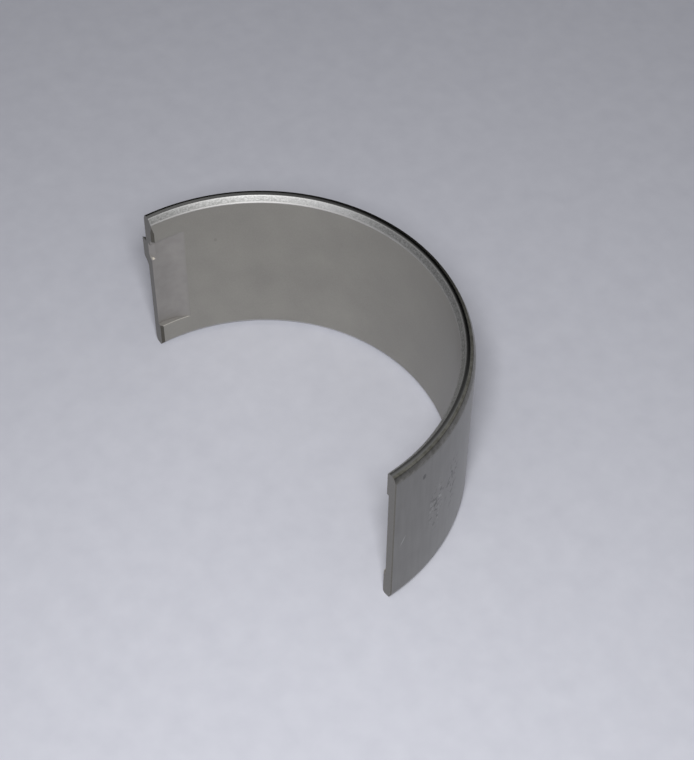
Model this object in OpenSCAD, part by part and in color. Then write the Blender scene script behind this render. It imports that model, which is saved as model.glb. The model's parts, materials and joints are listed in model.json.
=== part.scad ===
// Half shell of a plain engine bearing, standing on one edge with its bore axis upright.
// The origin is on the bore axis at half the shell's width. The crown faces +Y, the parting faces
// lie at the two ends in X, and the locating tang is on the end towards -X. Lengths are in millimetres.

/* [Shell] */
// Diameter of the housing bore that the shell is clamped into
housing_bore = 56; // [44:0.5:80]
// How far the outside radius opens while the shell is free of its housing
spring_open = 0.6; // [0.1:0.05:1.5]
// Wall thickness from the bore to the back
wall = 2; // [1.7:0.05:3]
// Width of the shell along the bore axis
shell_width = 26; // [22:0.5:40]

/* [Edge chamfers] */
// Chamfer on the bore side, measured across the edge
bore_chamfer_across = 0.65; // [0.2:0.05:0.75]
// Chamfer on the bore side, measured along the bore axis
bore_chamfer_along = 0.9; // [0.2:0.05:1.5]
// Chamfer on the back, measured across the edge
back_chamfer_across = 0.4; // [0.2:0.05:0.5]
// Chamfer on the back, measured along the bore axis
back_chamfer_along = 1; // [0.4:0.05:1.5]
// Slight bevel between the chamfer on the back and the flat edge, measured across the edge
edge_bevel_across = 0.42; // [0.1:0.02:0.42]
// Drop of the slight bevel along the bore axis
edge_bevel_drop = 0.1; // [0.02:0.02:0.2]

/* [Oil relief at the parting faces] */
// Plain land left above and below each relief
relief_land = 4.3; // [2.5:0.1:6]
// Depth of the relief at the parting face
relief_depth = 0.75; // [0.3:0.05:0.9]
// Distance round the bore over which the relief runs out
relief_run = 4.8; // [3.5:0.1:8]
// Height of the sloped wall at the upper and lower end of the relief
relief_slope = 0.1; // [0.05:0.05:1]

/* [Locating tang] */
// Distance from the upper edge of the shell to the sheared side of the tang
tang_from_edge = 5.3; // [3:0.1:8]
// Width of the tang along the bore axis, with the blend on its lower side
tang_width = 4.8; // [3.5:0.1:7]
// How far the tang stands out of the back at the parting face
tang_height = 0.9; // [0.4:0.05:1.1]
// Distance round the back over which the tang runs out
tang_run = 3.4; // [2.5:0.1:6]
// Part of the tang's width in which its lower side blends into the back
tang_blend = 1.5; // [1.2:0.1:2]
// How much narrower the hollow behind the tang is
tang_hollow_step = 1.2; // [0.1:0.05:1.5]
// How far below the bore the hollow runs out
tang_hollow_sink = 0.5; // [0.1:0.05:0.55]
// Distance round the bore over which the hollow runs out
tang_hollow_run = 2.6; // [2:0.1:3]

/* [Broken edges of the parting faces] */
// Edge taken off between the plain end's parting face and the bore
plain_end_break = 0.4; // [0.1:0.05:0.6]
// Edge taken off between the tang end's parting face and the bore
tang_end_break = 0.3; // [0.1:0.05:0.6]
// Edge taken off between a parting face and the back
back_break = 0.2; // [0.05:0.05:0.4]
// Height over which a break runs out towards the shell's edge
break_fade = 0.8; // [0.3:0.1:1.5]
// Share of the upper land at the tang end over which its break runs out
tang_end_share = 0.7; // [0.2:0.05:1]
// Sharp corner left between a break and the chamfer
break_clear = 0.1; // [0.05:0.05:0.3]

/* [Hidden] */
$fn = 96;

// The free shell keeps the length of half the housing bore's rim, so it spans less than half a turn.
r_out = housing_bore / 2 + spring_open;
r_in = r_out - wall;
half_span = 90 * (housing_bore / 2) / r_out;
half_width = shell_width / 2;

// The relief is cut by a disc whose edge passes its full depth at the parting face and its run-out point.
run_angle = relief_run / r_in * 180 / PI;
run_x = r_in * cos(run_angle);
run_y = r_in * sin(run_angle);
run_drop = r_in + relief_depth - run_x;
mill_r = (run_drop * run_drop + run_y * run_y) / (2 * run_drop);
relief_half = half_width - relief_land;

// Heights at which the broken edges end, below the chamfers and on the upper land of the tang end.
bore_break_top = half_width - bore_chamfer_along - break_clear;
back_break_top = half_width - back_chamfer_along - break_clear;
tang_end_fade = tang_end_share * (bore_break_top - relief_half);

// Heights of the tang, and the radius of the two equal arcs of its blend.
tang_top = half_width - tang_from_edge;
tang_low = tang_top - tang_width;
blend_r = (tang_blend * tang_blend + tang_height * tang_height) / (4 * tang_height);

// Places its children at the plain end: X runs out along the parting face and Y into the shell.
module at_plain_end() {
    rotate([0, 0, 90 - half_span]) children();
}

// Places its children at the end with the tang, mirrored from the plain end.
module at_tang_end() {
    mirror([1, 0, 0]) at_plain_end() children();
}

module at_both_ends() {
    at_plain_end() children();
    at_tang_end() children();
}

// The strip bent to its arc, with both its edges chamfered on the bore side and on the back.
module bent_strip() {
    bore_edge = half_width - bore_chamfer_along;
    back_edge = half_width - back_chamfer_along;
    flat_in = r_in + bore_chamfer_across;
    bevel_out = r_out - back_chamfer_across;
    flat_out = bevel_out - edge_bevel_across;
    bevel_edge = half_width - edge_bevel_drop;
    at_plain_end() rotate_extrude(angle = 2 * half_span) polygon([
        [r_in, -bore_edge],
        [flat_in, -half_width],
        [flat_out, -half_width],
        [bevel_out, -bevel_edge],
        [r_out, -back_edge],
        [r_out, back_edge],
        [bevel_out, bevel_edge],
        [flat_out, half_width],
        [flat_in, half_width],
        [r_in, bore_edge]
    ]);
}

// The corner taken off a parting face at radius r, from a height below the middle to one above it.
// It fades out at both ends, and turn is the way from the corner into the wall.
module edge_break(r, size, turn, below, above, fade_above) {
    depth = size / sqrt(2);
    over = 2 * size;
    spread = over / depth;
    translate([r, 0, 0]) rotate([90, 0, turn]) linear_extrude(2 * over, center = true) polygon([
        [-over, -below - spread * break_fade],
        [depth, break_fade - below],
        [depth, above - fade_above],
        [-over, above + spread * fade_above]
    ]);
}

// The disc that mills the shallow oil relief, cut off by a sloped wall at its upper and lower end.
module relief_mill() {
    far_x = r_in + relief_depth;
    near_x = run_x - relief_depth;
    far_z = relief_half - relief_slope;
    near_z = relief_half + relief_slope * (r_in - near_x) / relief_depth;
    intersection() {
        translate([far_x - mill_r, 0, -half_width]) cylinder(r = mill_r, h = shell_width);
        rotate([90, 0, 0]) linear_extrude(2 * mill_r, center = true) polygon([
            [near_x, -near_z],
            [far_x, -far_z],
            [far_x, far_z],
            [near_x, near_z]
        ]);
    }
}

// Upright section of the tang on a wall of radius r: sheared square at the top, blended by two arcs below.
// Its three areas overlap, so that they join at any size.
module tang_side(r, low) {
    root = wall / 2;
    middle = low + tang_blend / 2;
    full = low + tang_blend;
    translate([r - root, full]) square([root + tang_height, tang_top - full]);
    intersection() {
        translate([r + tang_height - blend_r, full]) circle(blend_r);
        translate([r, middle]) square([tang_height, tang_top - middle]);
    }
    difference() {
        translate([r - root, low]) square([root + tang_height / 2, tang_top - low]);
        translate([r + blend_r, low]) circle(blend_r);
    }
}

// The lump pressed out of a wall of radius r, full at the parting face and run out round the wall.
// The hollow is the same form sunk into the bore, and reaches past the parting face.
module tang_form(r, run, low, past) {
    turn = run / r * 180 / PI;
    root = r - wall / 2;
    end_x = r * cos(turn);
    end_y = r * sin(turn);
    lean = (r + tang_height - end_x) / end_y;
    intersection() {
        translate([0, 0, low]) linear_extrude(tang_top - low) polygon([
            [root, -past],
            [r + tang_height + past * lean, -past],
            [end_x, end_y],
            [root * cos(turn), root * sin(turn)]
        ]);
        translate([0, run, 0]) rotate([90, 0, 0]) linear_extrude(run + past) tang_side(r, low);
    }
}

// The whole half shell, pressed and machined from one strip. On the upper land at the tang end, the bore's
// corner is filed at a slant.
module bearing_shell() {
    slant_top = relief_half + tang_end_fade;
    hollow_r = r_in + tang_hollow_sink;
    color("#83827e") difference() {
        union() {
            difference() {
                bent_strip();
                at_both_ends() edge_break(r_out, back_break, 135, back_break_top, back_break_top, break_fade);
            }
            at_tang_end() tang_form(r_out, tang_run, tang_low, 0);
        }
        at_both_ends() relief_mill();
        at_plain_end() edge_break(r_in, plain_end_break, 45, bore_break_top, bore_break_top, break_fade);
        at_tang_end() edge_break(r_in, tang_end_break, 45, bore_break_top, slant_top, tang_end_fade);
        at_tang_end() tang_form(hollow_r, tang_hollow_run, tang_low + tang_hollow_step, wall);
    }
}

bearing_shell();
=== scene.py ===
import json
import math

import bpy
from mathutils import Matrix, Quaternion, Vector


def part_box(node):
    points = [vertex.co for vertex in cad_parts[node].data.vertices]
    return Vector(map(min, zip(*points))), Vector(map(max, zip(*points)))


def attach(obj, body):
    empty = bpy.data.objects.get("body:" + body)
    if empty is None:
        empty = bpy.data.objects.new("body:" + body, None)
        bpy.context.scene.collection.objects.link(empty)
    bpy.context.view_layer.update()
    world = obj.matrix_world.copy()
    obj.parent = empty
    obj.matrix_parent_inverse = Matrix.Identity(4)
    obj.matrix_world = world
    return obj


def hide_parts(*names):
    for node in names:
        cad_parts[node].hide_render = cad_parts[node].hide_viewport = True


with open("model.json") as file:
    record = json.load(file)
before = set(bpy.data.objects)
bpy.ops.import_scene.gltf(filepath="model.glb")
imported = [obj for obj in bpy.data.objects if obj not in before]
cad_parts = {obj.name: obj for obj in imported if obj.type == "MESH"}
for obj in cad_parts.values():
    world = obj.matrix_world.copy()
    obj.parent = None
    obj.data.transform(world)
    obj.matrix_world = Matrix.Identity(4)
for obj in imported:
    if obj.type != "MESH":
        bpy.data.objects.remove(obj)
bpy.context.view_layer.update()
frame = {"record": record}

# The strip: bearing steel with a bonded lining, rolled to a half round with both edges chamfered.
# Its section is drawn with cut and rounded corners, and spun round the bore axis in three lengths:
# the crown and the two ends. It is drawn in millimetres and scaled when it is whole.
mm = 0.001
mounts = {mount["name"]: mount for mount in frame["record"]["mounts"]}
bore_r = mounts["journal_seat"]["dims"]["r_mm"]
back_r = mounts["housing_seat"]["dims"]["r_mm"]
bore_half = mounts["journal_seat"]["dims"]["length_mm"] / 2
back_half = mounts["housing_seat"]["dims"]["length_mm"] / 2
half_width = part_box("bearing_shell")[1].z / mm
plain_end = mounts["plain_end_face"]["pos_m"]
end_turn = math.atan2(plain_end[1], plain_end[0])
rim_length = (math.pi - 2 * end_turn) * back_r
wall = back_r - bore_r
bore_chamfer_across = 0.65
back_chamfer_across = 0.4
edge_bevel_across = 0.42
edge_bevel_drop = 0.1
flat_in = bore_r + bore_chamfer_across
bevel_out = back_r - back_chamfer_across
flat_out = bevel_out - edge_bevel_across
bevel_half = half_width - edge_bevel_drop
edge_round = 0.05
back_round = 0.3
merge_gap = 0.0005
spare_turn = math.radians(1)
length_turn = math.radians(14)
step_turn = math.radians(0.5)


def pick(piece):
    bpy.ops.object.select_all(action="DESELECT")
    piece.select_set(True)
    bpy.context.view_layer.objects.active = piece


def settle(piece):
    pick(piece)
    bpy.ops.object.transform_apply(location=True, rotation=True, scale=True)
    return piece


def open_mesh(piece):
    pick(piece)
    bpy.ops.object.mode_set(mode="EDIT")
    bpy.ops.mesh.select_all(action="SELECT")


def merge_points():
    bpy.ops.mesh.select_all(action="SELECT")
    bpy.ops.mesh.remove_doubles(threshold=merge_gap)


def close_mesh():
    merge_points()
    bpy.ops.mesh.normals_make_consistent(inside=False)
    bpy.ops.object.mode_set(mode="OBJECT")


def select_points(piece, wanted):
    bpy.ops.mesh.select_mode(type="VERT")
    bpy.ops.mesh.select_all(action="DESELECT")
    bpy.ops.object.mode_set(mode="OBJECT")
    for point in piece.data.vertices:
        point.select = wanted(point.co)
    bpy.ops.object.mode_set(mode="EDIT")


def cut_off(point, outward):
    bpy.ops.mesh.select_all(action="SELECT")
    bpy.ops.mesh.bisect(plane_co=point, plane_no=outward, clear_outer=True, use_fill=True)


def upright_plane(x_low, x_high, z_low, z_high):
    bpy.ops.object.select_all(action="DESELECT")
    bpy.ops.mesh.primitive_plane_add(size=1, rotation=(math.pi / 2, 0, 0))
    plane = settle(bpy.context.object)
    plane.scale = (x_high - x_low, 1, z_high - z_low)
    plane.location = ((x_low + x_high) / 2, 0, (z_low + z_high) / 2)
    return settle(plane)


section = upright_plane(bore_r, back_r, -half_width, half_width)
open_mesh(section)
for up in (1, -1):
    cut_off((bore_r, 0, up * bore_half), (bore_half - half_width, 0, up * bore_chamfer_across))
    cut_off((back_r, 0, up * back_half), (bevel_half - back_half, 0, up * back_chamfer_across))
    cut_off((bevel_out, 0, up * bevel_half), (edge_bevel_drop, 0, up * edge_bevel_across))
select_points(section, lambda co: co.x < bevel_out + edge_round)
bpy.ops.mesh.bevel(offset=edge_round, segments=5, affect="VERTICES")
select_points(section, lambda co: co.x > back_r - edge_round)
bpy.ops.mesh.bevel(offset=back_round, segments=6, affect="VERTICES")
bpy.ops.object.mode_set(mode="OBJECT")


def rolled_length(name, start, turn, solid):
    pick(section)
    bpy.ops.object.duplicate()
    length = bpy.context.selected_objects[0]
    length.name = name
    length.rotation_euler.z = start
    settle(length)
    open_mesh(length)
    if not solid:
        bpy.ops.mesh.delete(type="ONLY_FACE")
        bpy.ops.mesh.select_all(action="SELECT")
    steps = round(turn / step_turn)
    bpy.ops.mesh.spin(steps=steps, angle=turn, center=(0, 0, 0), axis=(0, 0, -1))
    close_mesh()
    return length


crown_start = end_turn + length_turn
end_length_turn = spare_turn + length_turn
shell = rolled_length("half_shell", crown_start, math.pi - 2 * crown_start, solid=False)
plain_length = rolled_length("plain_length", -spare_turn, end_length_turn, solid=True)
tang_length = rolled_length("tang_length", -spare_turn, end_length_turn, solid=True)
bpy.data.objects.remove(section)


# The finishes of the strip: a matt lining with painted shade towards the upper edge and the plain
# end, a bright turned chamfer with a painted highlight band round the crown, painted highlight lines
# along its corners and painted shade at the tang end, a smooth faced edge, a dark chamfer on the back
# with a painted shade line along its crease, and the plain steel back, pitted and rubbed in handling.
def new_finish(name, metallic, roughness):
    finish = bpy.data.materials.new(name)
    finish.use_nodes = True
    shader = finish.node_tree.nodes["Principled BSDF"]
    shader.inputs["Metallic"].default_value = metallic
    shader.inputs["Roughness"].default_value = roughness
    return finish


def add_node(finish, kind, inputs, **settings):
    tree = finish.node_tree
    node = tree.nodes.new(kind)
    for name, value in settings.items():
        setattr(node, name, value)
    for name, value in inputs.items():
        if isinstance(value, bpy.types.NodeSocket):
            tree.links.new(value, node.inputs[name])
        else:
            node.inputs[name].default_value = value
    return node


def reckon(finish, operation, first, second=0.0):
    inputs = {0: first, 1: second}
    return add_node(finish, "ShaderNodeMath", inputs, operation=operation).outputs[0]


def ranged(finish, value, low, high, to_low=0.0, to_high=1.0):
    inputs = {
        "Value": value, "From Min": low, "From Max": high, "To Min": to_low, "To Max": to_high,
    }
    return add_node(finish, "ShaderNodeMapRange", inputs).outputs[0]


def mixed(finish, share, first, second):
    inputs = {"Fac": share, "Color1": first, "Color2": second}
    return add_node(finish, "ShaderNodeMixRGB", inputs).outputs[0]


def blended(finish, first, second, first_share):
    """The sum of two patterns, with this share of the first and the rest of the second."""
    first = reckon(finish, "MULTIPLY", first, first_share)
    second = reckon(finish, "MULTIPLY", second, 1 - first_share)
    return reckon(finish, "ADD", first, second)


def object_place(finish):
    return add_node(finish, "ShaderNodeTexCoord", {}).outputs["Object"]


def shell_places(finish):
    """The place, then its distance round from the plain end, out from the axis and up, in metres."""
    place = object_place(finish)
    parts = add_node(finish, "ShaderNodeSeparateXYZ", {0: place}).outputs
    level = add_node(finish, "ShaderNodeCombineXYZ", {0: parts[0], 1: parts[1]}).outputs[0]
    out = add_node(finish, "ShaderNodeVectorMath", {0: level}, operation="LENGTH").outputs["Value"]
    turn = reckon(finish, "ARCTAN2", parts[1], parts[0])
    from_plain_end = reckon(finish, "SUBTRACT", turn, end_turn)
    round_it = reckon(finish, "MULTIPLY", from_plain_end, back_r * mm)
    return place, round_it, out, parts[2]


def noise(finish, place, scale, detail, stretch=(1, 1, 1), roughness=0.5):
    spread = add_node(finish, "ShaderNodeMapping", {"Vector": place, "Scale": stretch}).outputs[0]
    inputs = {"Vector": spread, "Scale": scale, "Detail": detail, "Roughness": roughness}
    return add_node(finish, "ShaderNodeTexNoise", inputs).outputs["Fac"]


def give(finish, socket, value):
    finish.node_tree.links.new(value, finish.node_tree.nodes["Principled BSDF"].inputs[socket])


def bump(finish, height, strength, distance):
    inputs = {"Height": height, "Strength": strength, "Distance": distance}
    give(finish, "Normal", add_node(finish, "ShaderNodeBump", inputs).outputs[0])


def spot(finish, round_it, up, middle, reach, lean=0.0):
    """1 in an oval mark and 0 outside it. Middle and reach are round and up the shell, in mm."""
    along = reckon(finish, "SUBTRACT", up, middle[1] * mm)
    across = reckon(finish, "SUBTRACT", round_it, middle[0] * mm)
    across = reckon(finish, "SUBTRACT", across, reckon(finish, "MULTIPLY", along, lean))
    along = reckon(finish, "DIVIDE", along, reach[1] * mm)
    across = reckon(finish, "DIVIDE", across, reach[0] * mm)
    along = reckon(finish, "MULTIPLY", along, along)
    across = reckon(finish, "MULTIPLY", across, across)
    return ranged(finish, reckon(finish, "ADD", along, across), 1.0, 0.2)


def plain_end_painted_shade(finish, round_it):
    """Share of painted shade in the bore, which grows from beyond the crown towards the plain end."""
    shade_start = 58 * mm
    full_shade = 24 * mm
    return ranged(finish, round_it, shade_start, full_shade, 0.0, 0.38)


def bore_lining():
    dark_grey = (0.3, 0.289, 0.263, 1)
    pale_grey = (0.375, 0.362, 0.327, 1)
    shade_grey = (0.2, 0.192, 0.174, 1)
    stain_grey = (0.2, 0.19, 0.17, 1)
    stain_from_tang_end = 9.3
    finish = new_finish("bore_lining", metallic=0.25, roughness=0.45)
    place, round_it, _, up = shell_places(finish)
    cloud = noise(finish, place, scale=180, detail=4)
    speckle = noise(finish, place, scale=5200, detail=2)
    shade = ranged(finish, blended(finish, cloud, speckle, 0.6), 0.3, 0.7)
    colour = mixed(finish, shade, dark_grey, pale_grey)
    # Painted shade: the lining is darkened towards its upper edge and towards the plain end.
    upper_painted_shade = ranged(finish, up, -bore_half * mm, bore_half * mm, 0.0, 0.3)
    painted_shade_share = reckon(finish, "ADD", upper_painted_shade, plain_end_painted_shade(finish, round_it))
    colour = mixed(finish, painted_shade_share, colour, shade_grey)
    stain_round = rim_length - stain_from_tang_end / bore_r * back_r
    stain = spot(finish, round_it, up, middle=(stain_round, 5.6), reach=(0.32, 0.4))
    stain = reckon(finish, "MULTIPLY", stain, 0.4)
    give(finish, "Base Color", mixed(finish, stain, colour, stain_grey))
    give(finish, "Roughness", ranged(finish, cloud, 0.3, 0.7, 0.42, 0.48))
    bump(finish, speckle, strength=0.15, distance=0.02 * mm)
    return finish


def turned_chamfer():
    dark_metal = (0.3, 0.3, 0.29, 1)
    bright_metal = (0.57, 0.57, 0.56, 1)
    crown_highlight_metal = (0.86, 0.86, 0.87, 1)
    outer_highlight_colour = (0.66, 0.66, 0.65, 1)
    inner_highlight_colour = (0.72, 0.71, 0.695, 1)
    shaded_metal = (0.06, 0.06, 0.058, 1)
    finish = new_finish("turned_chamfer", metallic=1.0, roughness=0.55)
    _, round_it, out, up = shell_places(finish)
    track = add_node(finish, "ShaderNodeCombineXYZ", {0: round_it, 1: out, 2: up}).outputs[0]
    glint = noise(finish, track, scale=5600, detail=3, stretch=(0.6, 1, 1), roughness=0.7)
    colour = mixed(finish, ranged(finish, glint, 0.36, 0.64), dark_metal, bright_metal)
    # Painted highlight: a brighter band round the crown, where the lamp's highlight falls on the
    # chamfer.
    highlight_start = ranged(finish, round_it, 51 * mm, 58 * mm)
    highlight_end = ranged(finish, round_it, 69 * mm, 60 * mm, 0.06, 0.38)
    painted_highlight = reckon(finish, "MULTIPLY", highlight_start, highlight_end)
    colour = mixed(finish, painted_highlight, colour, crown_highlight_metal)
    # Painted highlights: pale lines along the chamfer's outer and inner corners, the inner one
    # strongest towards the crown.
    outer_highlight = ranged(finish, out, (flat_in - 0.13) * mm, (flat_in - 0.05) * mm, 0.0, 0.6)
    colour = mixed(finish, outer_highlight, colour, outer_highlight_colour)
    inner_highlight = ranged(finish, out, (bore_r + 0.15) * mm, (bore_r + 0.08) * mm)
    inner_highlight_strength = ranged(finish, round_it, 28 * mm, 60 * mm, 0.3, 1.0)
    inner_highlight = reckon(finish, "MULTIPLY", inner_highlight, inner_highlight_strength)
    colour = mixed(finish, inner_highlight, colour, inner_highlight_colour)
    # Painted shade: the chamfer darkens a little towards the tang end.
    tang_end_painted_shade = ranged(finish, round_it, 73 * mm, 77 * mm, 0.0, 0.1)
    give(finish, "Base Color", mixed(finish, tang_end_painted_shade, colour, shaded_metal))
    bump(finish, glint, strength=0.5, distance=0.03 * mm)
    return finish


def faced_edge():
    dark_metal = (0.46, 0.46, 0.44, 1)
    bright_metal = (0.56, 0.56, 0.54, 1)
    finish = new_finish("faced_edge", metallic=1.0, roughness=0.08)
    streak = noise(finish, object_place(finish), scale=900, detail=3)
    give(finish, "Base Color", mixed(finish, streak, dark_metal, bright_metal))
    return finish


def back_chamfer():
    dark_bevel = (0.32, 0.314, 0.265, 1)
    pale_bevel = (0.5, 0.49, 0.43, 1)
    dark_chamfer = (0.19, 0.185, 0.162, 1)
    pale_chamfer = (0.275, 0.268, 0.243, 1)
    crease_shade_colour = (0.09, 0.088, 0.075, 1)
    finish = new_finish("back_chamfer", metallic=1.0, roughness=0.26)
    place, _, out, _ = shell_places(finish)
    streak = ranged(finish, noise(finish, place, scale=1500, detail=3), 0.35, 0.65)
    bevel_colour = mixed(finish, streak, dark_bevel, pale_bevel)
    chamfer_colour = mixed(finish, streak, dark_chamfer, pale_chamfer)
    past_crease = reckon(finish, "SUBTRACT", out, bevel_out * mm)
    on_chamfer = ranged(finish, past_crease, -0.03 * mm, 0.03 * mm)
    colour = mixed(finish, on_chamfer, bevel_colour, chamfer_colour)
    # Painted shade: a thin dark line along the crease between the bevel and the chamfer.
    off_crease = reckon(finish, "ABSOLUTE", past_crease)
    crease_shade = ranged(finish, off_crease, 0.09 * mm, 0.04 * mm, 0.0, 0.25)
    give(finish, "Base Color", mixed(finish, crease_shade, colour, crease_shade_colour))
    return finish


def steel_back():
    dark_steel = (0.226, 0.222, 0.209, 1)
    pale_steel = (0.27, 0.266, 0.251, 1)
    pit_colour = (0.08, 0.078, 0.075, 1)
    rubbed_steel = (0.55, 0.54, 0.52, 1)
    finish = new_finish("steel_back", metallic=1.0, roughness=0.36)
    place, round_it, _, up = shell_places(finish)
    cloud = noise(finish, place, scale=260, detail=4)
    streak = noise(finish, place, scale=1400, detail=3, stretch=(1, 1, 0.1))
    shade = ranged(finish, blended(finish, cloud, streak, 0.5), 0.3, 0.7)
    colour = mixed(finish, shade, dark_steel, pale_steel)
    first_patch = spot(finish, round_it, up, middle=(8.3, 0.0), reach=(2.0, 5.5))
    second_patch = spot(finish, round_it, up, middle=(12.4, 0.6), reach=(2.2, 6.0))
    scuffed = reckon(finish, "MAXIMUM", first_patch, second_patch)
    pit = ranged(finish, noise(finish, place, scale=1150, detail=2), 0.54, 0.62)
    dent = spot(finish, round_it, up, middle=(5.1, 9.2), reach=(0.4, 0.6))
    pitted = reckon(finish, "MAXIMUM", reckon(finish, "MULTIPLY", scuffed, pit), dent)
    colour = mixed(finish, reckon(finish, "MULTIPLY", pitted, 0.7), colour, pit_colour)
    rub = ranged(finish, noise(finish, place, scale=1400, detail=2), 0.6, 0.68)
    scratch = spot(finish, round_it, up, middle=(1.7, -1.1), reach=(0.16, 0.9), lean=0.55)
    rub_and_highlight = reckon(finish, "MAXIMUM", reckon(finish, "MULTIPLY", first_patch, rub), scratch)
    rub_and_highlight = reckon(finish, "MULTIPLY", rub_and_highlight, 0.45)
    give(finish, "Base Color", mixed(finish, rub_and_highlight, colour, rubbed_steel))
    bump(finish, reckon(finish, "SUBTRACT", 1.0, pitted), strength=0.3, distance=0.05 * mm)
    return finish


def zone_of(face):
    out = math.hypot(face.center.x, face.center.y)
    height = abs(face.center.z)
    upright = abs(face.normal.z) < 0.05
    if height > half_width - edge_round / 4:
        return "faced_edge"
    if out < bore_r + edge_round and upright:
        return "bore_lining"
    if out < (flat_in + flat_out) / 2:
        return "turned_chamfer"
    return "steel_back" if height < back_half else "back_chamfer"


back_finish = steel_back()
strip_finishes = [bore_lining(), turned_chamfer(), faced_edge(), back_chamfer(), back_finish]
for length in (shell, plain_length, tang_length):
    for finish in strip_finishes:
        length.data.materials.append(finish)
    for face in length.data.polygons:
        face.material_index = length.data.materials.find(zone_of(face))

# The locating tang: a corner of the strip pressed out at one end, sheared square on top and blended
# into the back below. Its side is drawn, extruded and cut to run out round the back. The parting
# faces are cut through strip and tang together, and the strip's corners on the back are filed off.
tang_low = 2.9
tang_top = 7.7
tang_height = 0.9
tang_run = 3.4
tang_blend = 1.5
past_end = 1
back_break = 0.12
back_file_turn = math.radians(135)
near = 0.01
flush = 0.999


def parting_face():
    dark_steel = (0.21, 0.203, 0.183, 1)
    pale_steel = (0.27, 0.261, 0.237, 1)
    finish = new_finish("parting_face", metallic=1.0, roughness=0.42)
    grain = noise(finish, object_place(finish), scale=3000, detail=3)
    give(finish, "Base Color", mixed(finish, grain, dark_steel, pale_steel))
    return finish


def filed_corner():
    dark_bore_side = (0.12, 0.114, 0.092, 1)
    pale_bore_side = (0.18, 0.17, 0.142, 1)
    dark_back_side = (0.17, 0.163, 0.14, 1)
    pale_back_side = (0.23, 0.221, 0.19, 1)
    finish = new_finish("filed_corner", metallic=1.0, roughness=0.4)
    place, _, out, _ = shell_places(finish)
    grain = noise(finish, place, scale=3000, detail=3)
    bore_colour = mixed(finish, grain, dark_bore_side, pale_bore_side)
    back_colour = mixed(finish, grain, dark_back_side, pale_back_side)
    on_back = ranged(finish, out, (bore_r + 0.4 * wall) * mm, (bore_r + 0.6 * wall) * mm)
    give(finish, "Base Color", mixed(finish, on_back, bore_colour, back_colour))
    return finish


def pressed_form(r, run, low, finish):
    """The form pressed out of a wall of radius r, full at the parting face and run out round it."""
    blend_r = (tang_blend ** 2 + tang_height ** 2) / (4 * tang_height)
    bend = blend_r * tang_height / tang_blend
    foot = low + bend
    brow = low + tang_blend - bend
    form = upright_plane(r - wall / 2, r, low, tang_top)
    open_mesh(form)
    bpy.ops.mesh.bisect(plane_co=(r, 0, foot), plane_no=(0, 0, 1))
    select_points(form, lambda co: co.x > r - near and co.z > foot - near)
    bpy.ops.mesh.extrude_region_move(TRANSFORM_OT_translate={"value": (tang_height, 0, 0)})
    select_points(form, lambda co: co.x > r + near and co.z < foot + near)
    bpy.ops.transform.translate(value=(0, 0, brow - foot))
    bpy.ops.mesh.select_all(action="SELECT")
    bpy.ops.mesh.select_mode(type="FACE")
    bpy.ops.mesh.dissolve_faces()
    select_points(form, lambda co: co.x > r - near and low + near < co.z < tang_top - near)
    bpy.ops.mesh.bevel(offset=bend, segments=8, affect="VERTICES")
    merge_points()
    bpy.ops.transform.translate(value=(0, -past_end, 0))
    bpy.ops.mesh.extrude_region_move(TRANSFORM_OT_translate={"value": (0, past_end + run, 0)})
    end = run / r
    cut_off((r + tang_height, 0, 0), (r * math.sin(end), r + tang_height - r * math.cos(end), 0))
    close_mesh()
    form.data.materials.append(finish)
    return form


def edge_file(r, size, turn, finish):
    """A bar that takes the corner off a parting face at radius r. Turn is the way into the wall."""
    over = 2 * size
    depth = size / math.sqrt(2)
    bpy.ops.object.select_all(action="DESELECT")
    bpy.ops.mesh.primitive_cube_add(size=1)
    bar = bpy.context.object
    bar.scale = (depth + over, 2 * over, 4 * half_width)
    bar.location.x = (depth - over) / 2
    settle(bar)
    bar.rotation_euler.z = turn
    bar.location.x = r
    settle(bar)
    bar.data.materials.append(finish)
    return bar


def combine(piece, tool, operation):
    pick(piece)
    change = piece.modifiers.new("combine", "BOOLEAN")
    change.operation = operation
    change.solver = "EXACT"
    change.material_mode = "TRANSFER"
    change.object = tool
    bpy.ops.object.modifier_apply(modifier=change.name)
    bpy.data.objects.remove(tool)


parting_finish = parting_face()
corner_finish = filed_corner()
for length in (plain_length, tang_length):
    combine(length, edge_file(back_r, back_break, back_file_turn, corner_finish), "DIFFERENCE")
combine(tang_length, pressed_form(back_r, tang_run, tang_low, back_finish), "UNION")
for length in (plain_length, tang_length):
    open_mesh(length)
    cut_off((0, 0, 0), (0, -1, 0))
    close_mesh()
    length.data.materials.append(parting_finish)
    for face in length.data.polygons:
        if face.normal.y < -flush:
            face.material_index = length.data.materials.find(parting_finish.name)

# The oil reliefs: a shallow pocket milled into the bore at each parting face, with sloped walls
# above and below. They are cut with a disc. The lands beside them have their corner filed, at a slant
# on the upper land of the tang end, and the hollow behind the tang is pressed in there.
relief_half = 8.7
relief_depth = 0.75
relief_run = 4.8
relief_slope = 0.1
plain_end_break = 0.4
tang_end_break = 0.36
slant_fade = 3.1
bore_file_turn = math.radians(45)
hollow_sink = 0.5
hollow_step = 1.2
hollow_run = 2.6


def from_end(finish, round_it):
    """Distance round the back from the nearer parting face."""
    from_tang_end = reckon(finish, "SUBTRACT", rim_length * mm, round_it)
    return reckon(finish, "MINIMUM", round_it, from_tang_end)


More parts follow.
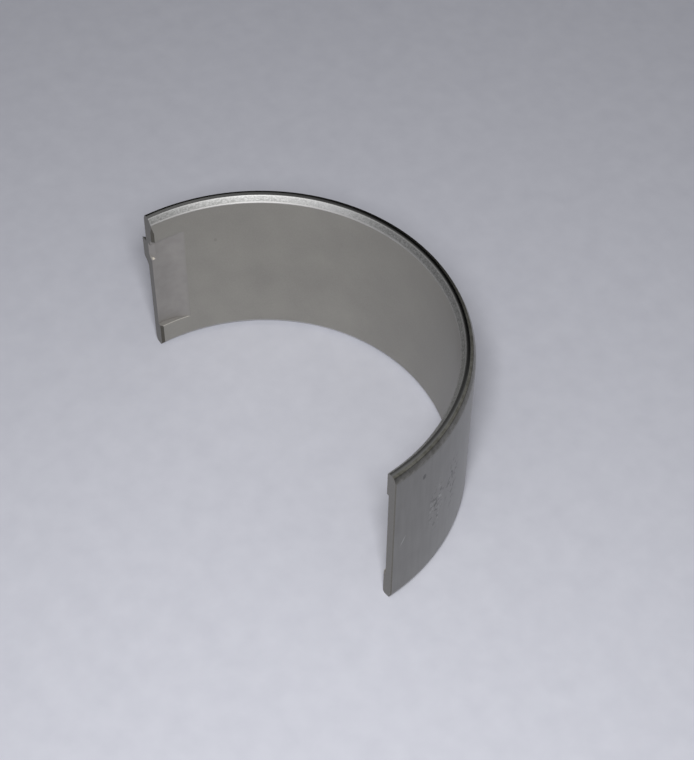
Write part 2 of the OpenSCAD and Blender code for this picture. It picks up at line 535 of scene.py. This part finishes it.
def milled_relief():
    dark_at_end = (0.29, 0.276, 0.261, 1)
    pale_at_end = (0.342, 0.326, 0.307, 1)
    dark_inside = (0.31, 0.295, 0.279, 1)
    pale_inside = (0.365, 0.348, 0.328, 1)
    shaded_relief = (0.2, 0.19, 0.18, 1)
    plain_lining = (0.317, 0.305, 0.277, 1)
    shaded_lining = (0.2, 0.192, 0.174, 1)
    finish = new_finish("milled_relief", metallic=0.3, roughness=0.45)
    place, round_it, _, _ = shell_places(finish)
    cloud = noise(finish, place, scale=500, detail=4)
    patch = ranged(finish, cloud, 0.3, 0.7)
    end_colour = mixed(finish, patch, dark_at_end, pale_at_end)
    inner_colour = mixed(finish, patch, dark_inside, pale_inside)
    inwards = from_end(finish, round_it)
    colour = mixed(finish, ranged(finish, inwards, 0.8 * mm, 4.0 * mm), end_colour, inner_colour)
    # The same painted shade towards the plain end darkens the relief and the lining it runs out into.
    painted_shade_share = plain_end_painted_shade(finish, round_it)
    colour = mixed(finish, painted_shade_share, colour, shaded_relief)
    lining = mixed(finish, painted_shade_share, plain_lining, shaded_lining)
    run_out = reckon(finish, "ADD", inwards, reckon(finish, "MULTIPLY", cloud, 0.8 * mm))
    run_out = ranged(finish, run_out, 5.2 * mm, 5.7 * mm)
    give(finish, "Base Color", mixed(finish, run_out, colour, lining))
    return finish


def relief_wall():
    # Painted shade: the wall is a darker copy of the relief's grey, against the light it catches
    # facing up.
    dark_shaded_wall = (0.25, 0.239, 0.226, 1)
    pale_shaded_wall = (0.3, 0.287, 0.271, 1)
    highlight_line = (0.6, 0.582, 0.54, 1)
    finish = new_finish("relief_wall", metallic=0.2, roughness=0.7)
    place, _, out, _ = shell_places(finish)
    grain = noise(finish, place, scale=2600, detail=3)
    colour = mixed(finish, grain, dark_shaded_wall, pale_shaded_wall)
    # Painted highlight: a pale line along the wall's top edge at the land.
    rub_and_highlight = ranged(finish, out, (bore_r + 0.15) * mm, (bore_r + 0.09) * mm)
    give(finish, "Base Color", mixed(finish, rub_and_highlight, colour, highlight_line))
    return finish


def pressed_hollow():
    dark_hollow = (0.294, 0.28, 0.266, 1)
    pale_hollow = (0.347, 0.331, 0.312, 1)
    hollow_highlight_metal = (0.7, 0.655, 0.565, 1)
    finish = new_finish("pressed_hollow", metallic=0.3, roughness=0.45)
    place, round_it, _, up = shell_places(finish)
    cloud = noise(finish, place, scale=900, detail=3)
    colour = mixed(finish, cloud, dark_hollow, pale_hollow)
    inwards = from_end(finish, round_it)
    # Painted highlights: two small pale spots on the lower blend of the hollow.
    first_highlight = spot(finish, inwards, up, middle=(0.35, 4.75), reach=(0.24, 0.2))
    second_highlight = spot(finish, inwards, up, middle=(1.15, 4.85), reach=(0.3, 0.18))
    rub_and_highlight = reckon(finish, "MAXIMUM", first_highlight, second_highlight)
    give(finish, "Base Color", mixed(finish, rub_and_highlight, colour, hollow_highlight_metal))
    return finish


def relief_mill(floor_finish, wall_finish):
    """The milling disc. It cuts to the full depth at the parting face, and out at the run-out."""
    drop = bore_r + relief_depth - bore_r * math.cos(relief_run / bore_r)
    reach = bore_r * math.sin(relief_run / bore_r)
    mill_r = (drop ** 2 + reach ** 2) / (2 * drop)
    centre = (bore_r + relief_depth - mill_r, 0, 0)
    bpy.ops.object.select_all(action="DESELECT")
    bpy.ops.mesh.primitive_cylinder_add(
        vertices=360, radius=mill_r, depth=2 * half_width, location=centre)
    mill = settle(bpy.context.object)
    open_mesh(mill)
    for up in (1, -1):
        cut_off((bore_r, 0, up * relief_half), (relief_slope, 0, up * relief_depth))
    close_mesh()
    mill.data.materials.append(floor_finish)
    mill.data.materials.append(wall_finish)
    for face in mill.data.polygons:
        sloped = abs(face.normal.z) > 0.5
        face.material_index = 1 if sloped else 0
    return mill


relief_finish = milled_relief()
wall_finish = relief_wall()
for length in (plain_length, tang_length):
    combine(length, relief_mill(relief_finish, wall_finish), "DIFFERENCE")
plain_file = edge_file(bore_r, plain_end_break, bore_file_turn, corner_finish)
combine(plain_length, plain_file, "DIFFERENCE")
slant_file = edge_file(bore_r, tang_end_break, bore_file_turn, corner_finish)
slant_out = Vector((
    slant_fade * math.cos(bore_file_turn),
    slant_fade * math.sin(bore_file_turn),
    tang_end_break / math.sqrt(2),
))
open_mesh(slant_file)
cut_off((bore_r, 0, relief_half + slant_fade), slant_out)
close_mesh()
combine(tang_length, slant_file, "DIFFERENCE")
hollow_r = bore_r + hollow_sink
hollow_low = tang_low + hollow_step
hollow = pressed_form(hollow_r, hollow_run, hollow_low, pressed_hollow())
combine(tang_length, hollow, "DIFFERENCE")

# The whole half shell: the two machined ends are opened at their inner section, turned to their
# places and joined to the crown, with the tang end mirrored. It is one piece of metal, so it stands
# for the only node and rides on the only body.
seam = Vector((-math.sin(length_turn), math.cos(length_turn), 0))
crease_turn = math.radians(12)
for length, side in ((plain_length, 1), (tang_length, -1)):
    open_mesh(length)
    bpy.ops.mesh.select_mode(type="FACE")
    bpy.ops.mesh.select_all(action="DESELECT")
    bpy.ops.object.mode_set(mode="OBJECT")
    for face in length.data.polygons:
        face.select = face.normal.dot(seam) > flush and abs(face.center.dot(seam)) < 2 * merge_gap
    bpy.ops.object.mode_set(mode="EDIT")
    bpy.ops.mesh.delete(type="FACE")
    bpy.ops.object.mode_set(mode="OBJECT")
    length.scale.x = side
    length.rotation_euler.z = side * end_turn
    settle(length)
bpy.ops.object.select_all(action="DESELECT")
for length in (plain_length, tang_length, shell):
    length.select_set(True)
bpy.context.view_layer.objects.active = shell
bpy.ops.object.join()
open_mesh(shell)
close_mesh()
bpy.ops.object.shade_smooth_by_angle(angle=crease_turn)
shell.scale = (mm, mm, mm)
settle(shell)
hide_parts("bearing_shell")
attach(shell, "root")

# The floor: a sheet of pale paper, faintly mottled, laid flat on a bench.
# The shell stands on it with its lower edge.
dark_paper = (0.66, 0.67, 0.745, 1)
pale_paper = (0.76, 0.77, 0.845, 1)
floor_width = 6
bpy.ops.object.select_all(action="DESELECT")
bpy.ops.mesh.primitive_plane_add(size=floor_width, location=(0, 0, -half_width * mm))
floor = settle(bpy.context.object)
floor.name = "floor"
paper = new_finish("pale_paper", metallic=0.0, roughness=0.9)
mottle = noise(paper, object_place(paper), scale=300, detail=6)
give(paper, "Base Color", mixed(paper, mottle, dark_paper, pale_paper))
floor.data.materials.append(paper)

# The light: one small soft box close to the camera and a little above it, facing the shell.
# Round it is a dim room, paler overhead, with a dark screen and a low dark wall behind the shell,
# which the faced edge mirrors.
lamp_place = Vector((0.105, -0.067, 0.176))
lamp_width = 0.05
lamp_power = 0.325
bpy.ops.object.select_all(action="DESELECT")
bpy.ops.object.light_add(type="AREA", location=lamp_place)
lamp = bpy.context.object
lamp.name = "front_lamp"
lamp.rotation_mode = "QUATERNION"
lamp.rotation_quaternion = lamp_place.to_track_quat("Z", "Y")
lamp.data.shape = "SQUARE"
lamp.data.size = lamp_width
lamp.data.energy = lamp_power
lamp.visible_camera = False
screen_left = (math.radians(149.5), math.radians(141))
screen_right = (math.radians(112), math.radians(124))
screen_top = (math.sin(math.radians(52.3)), math.sin(math.radians(48.9)))
wall_left = (math.radians(178), math.radians(165))
wall_top = (math.sin(math.radians(34)), math.sin(math.radians(24)))
low_sky = (0.12, 0.12, 0.124, 1)
high_sky = (0.25, 0.25, 0.257, 1)
screen_black = (0.004, 0.004, 0.004, 1)
room = bpy.data.worlds.new("dim_room")
bpy.context.scene.world = room
room.use_nodes = True
way = add_node(room, "ShaderNodeTexCoord", {}).outputs["Generated"]
way_parts = add_node(room, "ShaderNodeSeparateXYZ", {0: way}).outputs
way_up = way_parts[2]
way_round = reckon(room, "ARCTAN2", way_parts[1], way_parts[0])
sky = mixed(room, ranged(room, way_up, 0.25, 0.95), low_sky, high_sky)
tall_screen = reckon(
    room, "MULTIPLY", ranged(room, way_round, *screen_left), ranged(room, way_up, *screen_top))
low_wall = reckon(
    room, "MULTIPLY", ranged(room, way_round, *wall_left), ranged(room, way_up, *wall_top))
dark_side = reckon(room, "MAXIMUM", tall_screen, low_wall)
dark_side = reckon(room, "MULTIPLY", dark_side, ranged(room, way_round, *screen_right))
room_colour = mixed(room, dark_side, sky, screen_black)
room.node_tree.links.new(room_colour, room.node_tree.nodes["Background"].inputs["Color"])

# The camera: on the side of the plain end, above the shell and looking down into the bore.
# Its place, turn and lens are those of the photograph.
view_azimuth = math.radians(52.8876)
view_elevation = math.radians(49.7903)
view_roll = math.radians(-0.6703)
view_distance = 251.16 * mm
view_target = Vector((0.460, 14.560, -4.42)) * mm
view_back = Vector((
    math.sin(view_azimuth) * math.cos(view_elevation),
    -math.cos(view_azimuth) * math.cos(view_elevation),
    math.sin(view_elevation),
))
view_turn = Quaternion((0, 0, 1), -view_roll)
bpy.ops.object.camera_add(location=view_target + view_back * view_distance)
camera = bpy.context.object
camera.rotation_mode = "QUATERNION"
camera.rotation_quaternion = view_back.to_track_quat("Z", "Y") @ view_turn
camera.data.lens = 85.13
camera.data.sensor_width = 36
camera.data.clip_start = 0.01
bpy.context.scene.camera = camera
bpy.context.scene.view_settings.view_transform = "Standard"
